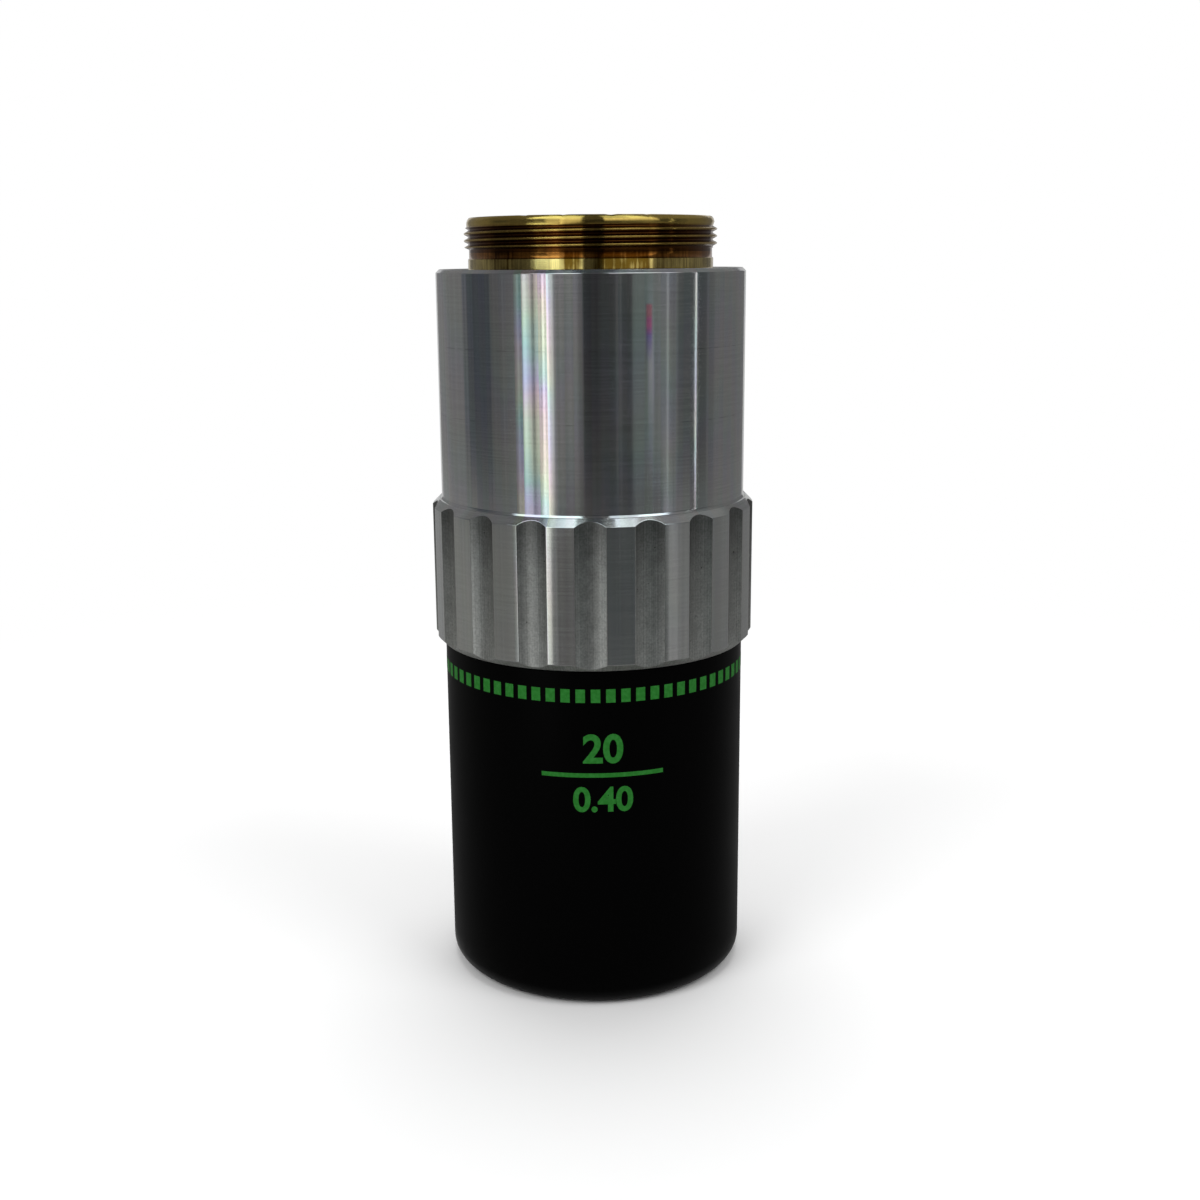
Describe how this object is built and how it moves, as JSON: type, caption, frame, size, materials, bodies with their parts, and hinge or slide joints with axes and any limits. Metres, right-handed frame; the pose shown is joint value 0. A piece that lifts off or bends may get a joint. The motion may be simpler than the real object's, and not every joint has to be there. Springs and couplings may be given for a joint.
{
  "type": "microscope objective",
  "caption": "Long working distance microscope objective with a threaded brass mount, a fluted metal grip and a black front sleeve.",
  "frame": {"origin": "centre of the front rim, on the surface that the objective stands on", "axes": "+Z along the optical axis, from the front lens towards the mounting thread"},
  "size_m": [0.034, 0.0338, 0.0801],
  "materials": {
    "barrel_aluminium": "bare turned metal with handling marks",
    "sleeve_paint": "satin black",
    "mount_brass": "turned, browned by age",
    "stop_black": "matte black anodised",
    "tube_brass": "satin turned",
    "cell_brass": "blackened",
    "screw_steel": "plain",
    "crown_glass": "polished and coated",
    "flint_glass": "polished and coated"
  },
  "bodies": {
    "root": {"grip_barrel": "barrel_aluminium", "front_sleeve": "sleeve_paint", "rear_mount": "mount_brass", "rear_stop": "stop_black", "lens_tube": "tube_brass", "parfocal_ring": "tube_brass", "stack_ring": "cell_brass", "long_spacer": "cell_brass", "front_cell": "cell_brass", "front_retainer": "cell_brass", "front_meniscus": "crown_glass", "second_cell": "cell_brass", "second_lens": "crown_glass", "second_retainer": "cell_brass", "third_cell": "cell_brass", "third_crown": "crown_glass", "third_flint": "flint_glass", "third_retainer": "cell_brass", "fourth_cell": "cell_brass", "fourth_front_flint": "flint_glass", "fourth_crown": "crown_glass", "fourth_rear_flint": "flint_glass", "fourth_retainer": "cell_brass", "fifth_cell": "cell_brass", "fifth_crown": "crown_glass", "fifth_flint": "flint_glass", "fifth_retainer": "cell_brass", "rear_cell": "cell_brass", "rear_flint": "flint_glass", "rear_crown": "crown_glass", "rear_retainer": "cell_brass", "tube_lock_screws": "screw_steel", "centring_screws": "screw_steel"}
  },
  "joints": []
}
